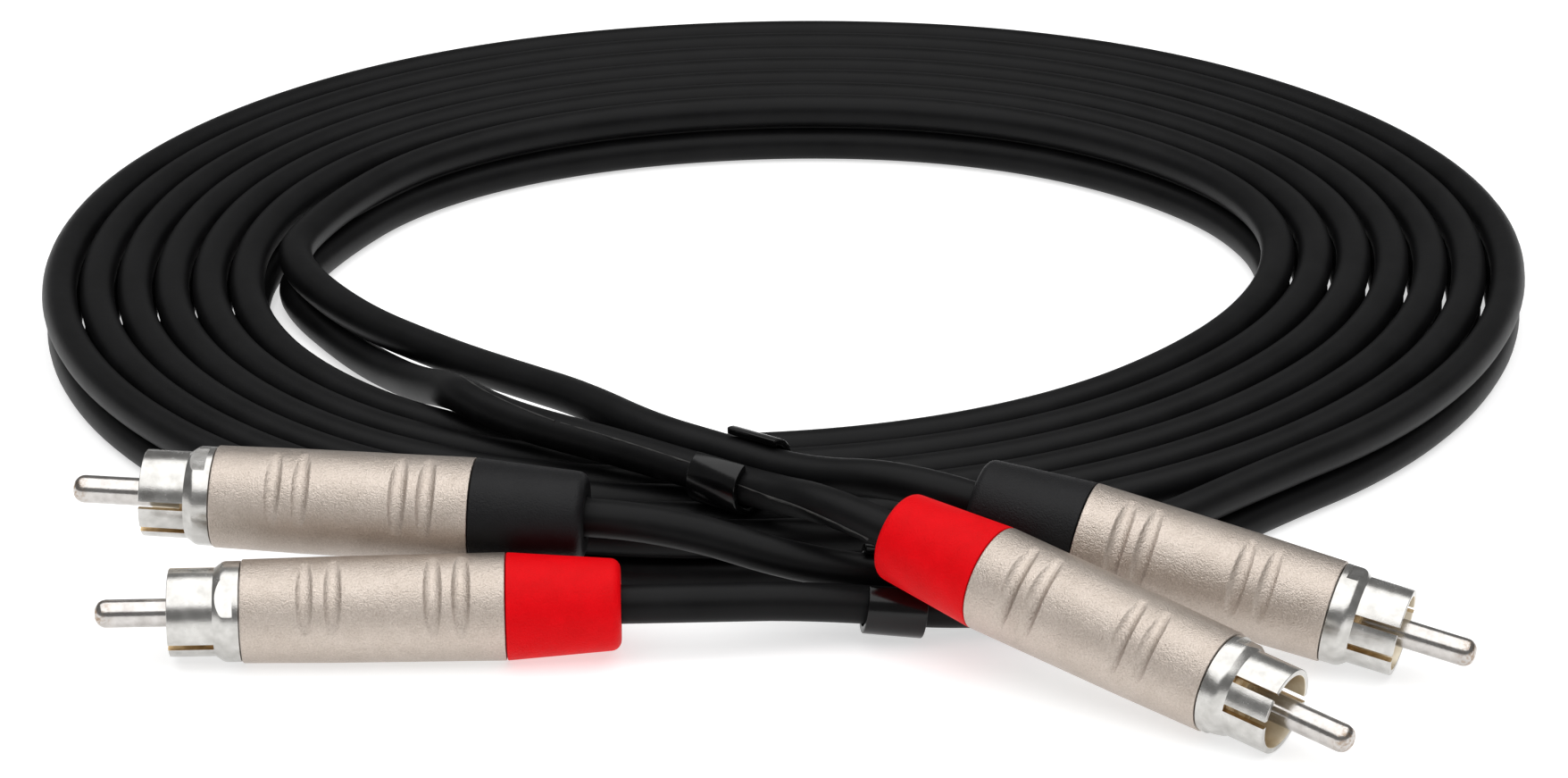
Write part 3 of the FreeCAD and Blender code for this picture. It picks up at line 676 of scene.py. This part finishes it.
def makeShell(plug):
    s = shell
    bm = bmesh.new()
    front, rear = shellJoint + s["seam"], bootJoint - s["seam"]
    points = [(front, s["ridge"]), (front, s["front"]), (s["waistAt"], s["waist"]), (rear, s["rear"]),
              (rear, s["bore"]), (s["ridgeEnd"], s["bore"]), (s["ridgeEnd"], s["ridge"])]
    drawProfile(bm, points, {1: s["edge"], 3: s["edge"]}, True)
    sides = [e for e in longEdges(bm) if min(v.co.y for v in e.verts) > s["skin"] * mm]
    for edge, cuts in zip(sorted(sides, key=lambda e: min(v.co.x for v in e.verts)), s["rows"]):
        bmesh.ops.subdivide_edges(bm, edges=[edge], cuts=cuts)
    spinProfile(bm, s["steps"])
    for vert in bm.verts:
        x, y, z = vert.co / mm
        around = math.hypot(y, z)
        if around > s["skin"]:
            sink = gripCut(x, y, z) / around
            vert.co.y -= vert.co.y * sink
            vert.co.z -= vert.co.z * sink
    shadeByAngle(bm, s["sharp"])
    return settle(bm, plug, plugs[plug]["shellTurn"], "shell_" + plug, "shell", "shell_body_" + plug,
                  "shell_" + plug)


boot = {"front": 6.05, "rear": 5.1, "round": 1.1, "bore": 2.5, "spigot": 5.22, "spigotFrom": 41.0, "cup": 4.87,
        "floor": 0.1, "frontEdge": 0.16, "boreEdge": 0.25, "steps": 96, "sharp": 40}


def makeBoot(plug):
    b = boot
    bm = bmesh.new()
    points = [(b["spigotFrom"], b["cup"]), (b["spigotFrom"], b["spigot"]), (bootJoint, b["spigot"]),
              (bootJoint, b["front"]), (plugLength, b["rear"]), (plugLength, b["bore"]),
              (bootJoint + b["floor"], b["bore"]), (bootJoint + b["floor"], b["cup"])]
    drawProfile(bm, points, {3: b["frontEdge"], 4: b["round"], 5: b["boreEdge"]}, True)
    spinProfile(bm, b["steps"])
    shadeByAngle(bm, b["sharp"])
    colour = plugs[plug]["colour"]
    return settle(bm, plug, 0, "boot_" + plug, colour, "boot_body_" + plug, "boot_" + plug)


insulator = {"front": 12.95, "radius": 4.24, "seat": 18.6, "neck": 2.69, "end": 20.2, "bore": 1.3, "recess": 0.35,
             "recessSides": ((2.3, 2.5), (3.5, 3.7)), "edge": 0.12, "steps": 64, "sharp": 30}


def makeInsulator(plug):
    i = insulator
    bm = bmesh.new()
    (rimIn, floorIn), (floorOut, rimOut) = i["recessSides"]
    points = [(i["front"], i["bore"]), (i["front"], rimIn), (i["front"] + i["recess"], floorIn),
              (i["front"] + i["recess"], floorOut), (i["front"], rimOut), (i["front"], i["radius"]),
              (i["seat"], i["radius"]), (i["seat"], i["neck"]), (i["end"], i["neck"]), (i["end"], i["bore"])]
    drawProfile(bm, points, {5: i["edge"]}, True)
    spinProfile(bm, i["steps"])
    shadeByAngle(bm, i["sharp"])
    return settle(bm, plug, 0, "insulator_" + plug, "insulator", "cable", "insulator_" + plug)


# clips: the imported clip, merged and given moulded edges

clip = {"edge": 0.16, "merge": 0.0005, "flat": 0.5, "corner": 40, "sharp": 35}


def makeClip(node):
    bm = bmesh.new()
    bm.from_mesh(frame["nodes"][node].data)
    bmesh.ops.remove_doubles(bm, verts=bm.verts[:], dist=clip["merge"] * mm)
    bmesh.ops.dissolve_limit(bm, angle_limit=math.radians(clip["flat"]), verts=bm.verts[:], edges=bm.edges[:])
    sharp = [e for e in bm.edges if e.is_manifold and e.calc_face_angle(0) > math.radians(clip["corner"])]
    bmesh.ops.bevel(bm, geom=sharp, offset=clip["edge"] * mm, offset_type="OFFSET", segments=3, profile=0.5,
                    affect="EDGES", clamp_overlap=True, material=-1)
    shadeByAngle(bm, clip["sharp"])
    piece = pieceFrom(bm, node + "Moulded", "clip")
    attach(piece, node + "_body")
    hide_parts(node)
    return piece


def dressNode(node, finish):
    solid = frame["nodes"][node]
    solid.data.materials.clear()
    solid.data.materials.append(finishes[finish])


cables = makeCables()
makeWeb()
for tearName, ridge in tears.items():
    makeTear(tearName, ridge)
for plugName in plugs:
    makePin(plugName)
    makeSleeve(plugName)
    makeShell(plugName)
    makeBoot(plugName)
    makeInsulator(plugName)
    for nodeName, finishName in (("cable_clamp", "clamp"), ("inner_wire", "dielectric"), ("drain_wire", "copper"),
                                 ("cable_end", "jacket")):
        dressNode(f"{nodeName}_{plugName}", finishName)
for clipName in ("clip_right_pair", "clip_left_pair"):
    makeClip(clipName)
print("plugs and clips made")

for levelName, leftPlug, rightPlug in (("upper", "black_left", "black_right"), ("lower", "red_left", "red_right")):
    lengthOf(lines[levelName])


# floor, lamp, world and camera

stage = {"floor": 12.0, "white": (0.62, 0.62, 0.62), "lift": 0.60, "air": 0.22}


def makeFloor():
    bm = bmesh.new()
    bmesh.ops.create_grid(bm, x_segments=1, y_segments=1, size=stage["floor"])
    mesh = bpy.data.meshes.new("studioFloor")
    bm.to_mesh(mesh)
    bm.free()
    floor = bpy.data.objects.new("studioFloor", mesh)
    bpy.context.scene.collection.objects.link(floor)
    shade = Shade("paperFloor")
    shade.set(Base_Color=stage["white"], Roughness=1.0, Specular_IOR_Level=0.0,
              Emission_Color=(1.0, 1.0, 1.0), Emission_Strength=stage["lift"])
    mesh.materials.append(shade.material)
    return floor


lamp = {"size": 2.0, "height": 1.0, "forward": -0.35, "power": 24.0}


def makeLamp():
    data = bpy.data.lights.new("softbox", "AREA")
    data.shape = "SQUARE"
    data.size = lamp["size"]
    data.energy = lamp["power"]
    piece = bpy.data.objects.new("softbox", data)
    piece.location = (0, lamp["forward"], lamp["height"])
    bpy.context.scene.collection.objects.link(piece)


def makeWorld():
    world = bpy.data.worlds.new("studioAir")
    world.use_nodes = True
    background = world.node_tree.nodes["Background"]
    background.inputs["Color"].default_value = (1, 1, 1, 1)
    background.inputs["Strength"].default_value = stage["air"]
    bpy.context.scene.world = world


view = {"distance": 691.7, "elevation": 23.0, "target": (0, -4.8, 0), "lens": 127.1, "sensor": 36,
        "reach": (0.01, 50)}


def makeCamera():
    data = bpy.data.cameras.new("camera")
    data.lens = view["lens"]
    data.sensor_width = view["sensor"]
    data.clip_start, data.clip_end = view["reach"]
    rise = math.radians(view["elevation"])
    piece = bpy.data.objects.new("camera", data)
    back = Vector((0, -math.cos(rise), math.sin(rise)))
    piece.location = (Vector(view["target"]) + back * view["distance"]) * mm
    piece.rotation_euler = (math.pi / 2 - rise, 0, 0)
    bpy.context.scene.collection.objects.link(piece)
    bpy.context.scene.camera = piece


makeFloor()
makeLamp()
makeWorld()
makeCamera()
bpy.context.scene.view_settings.view_transform = "Standard"
print("stage set")
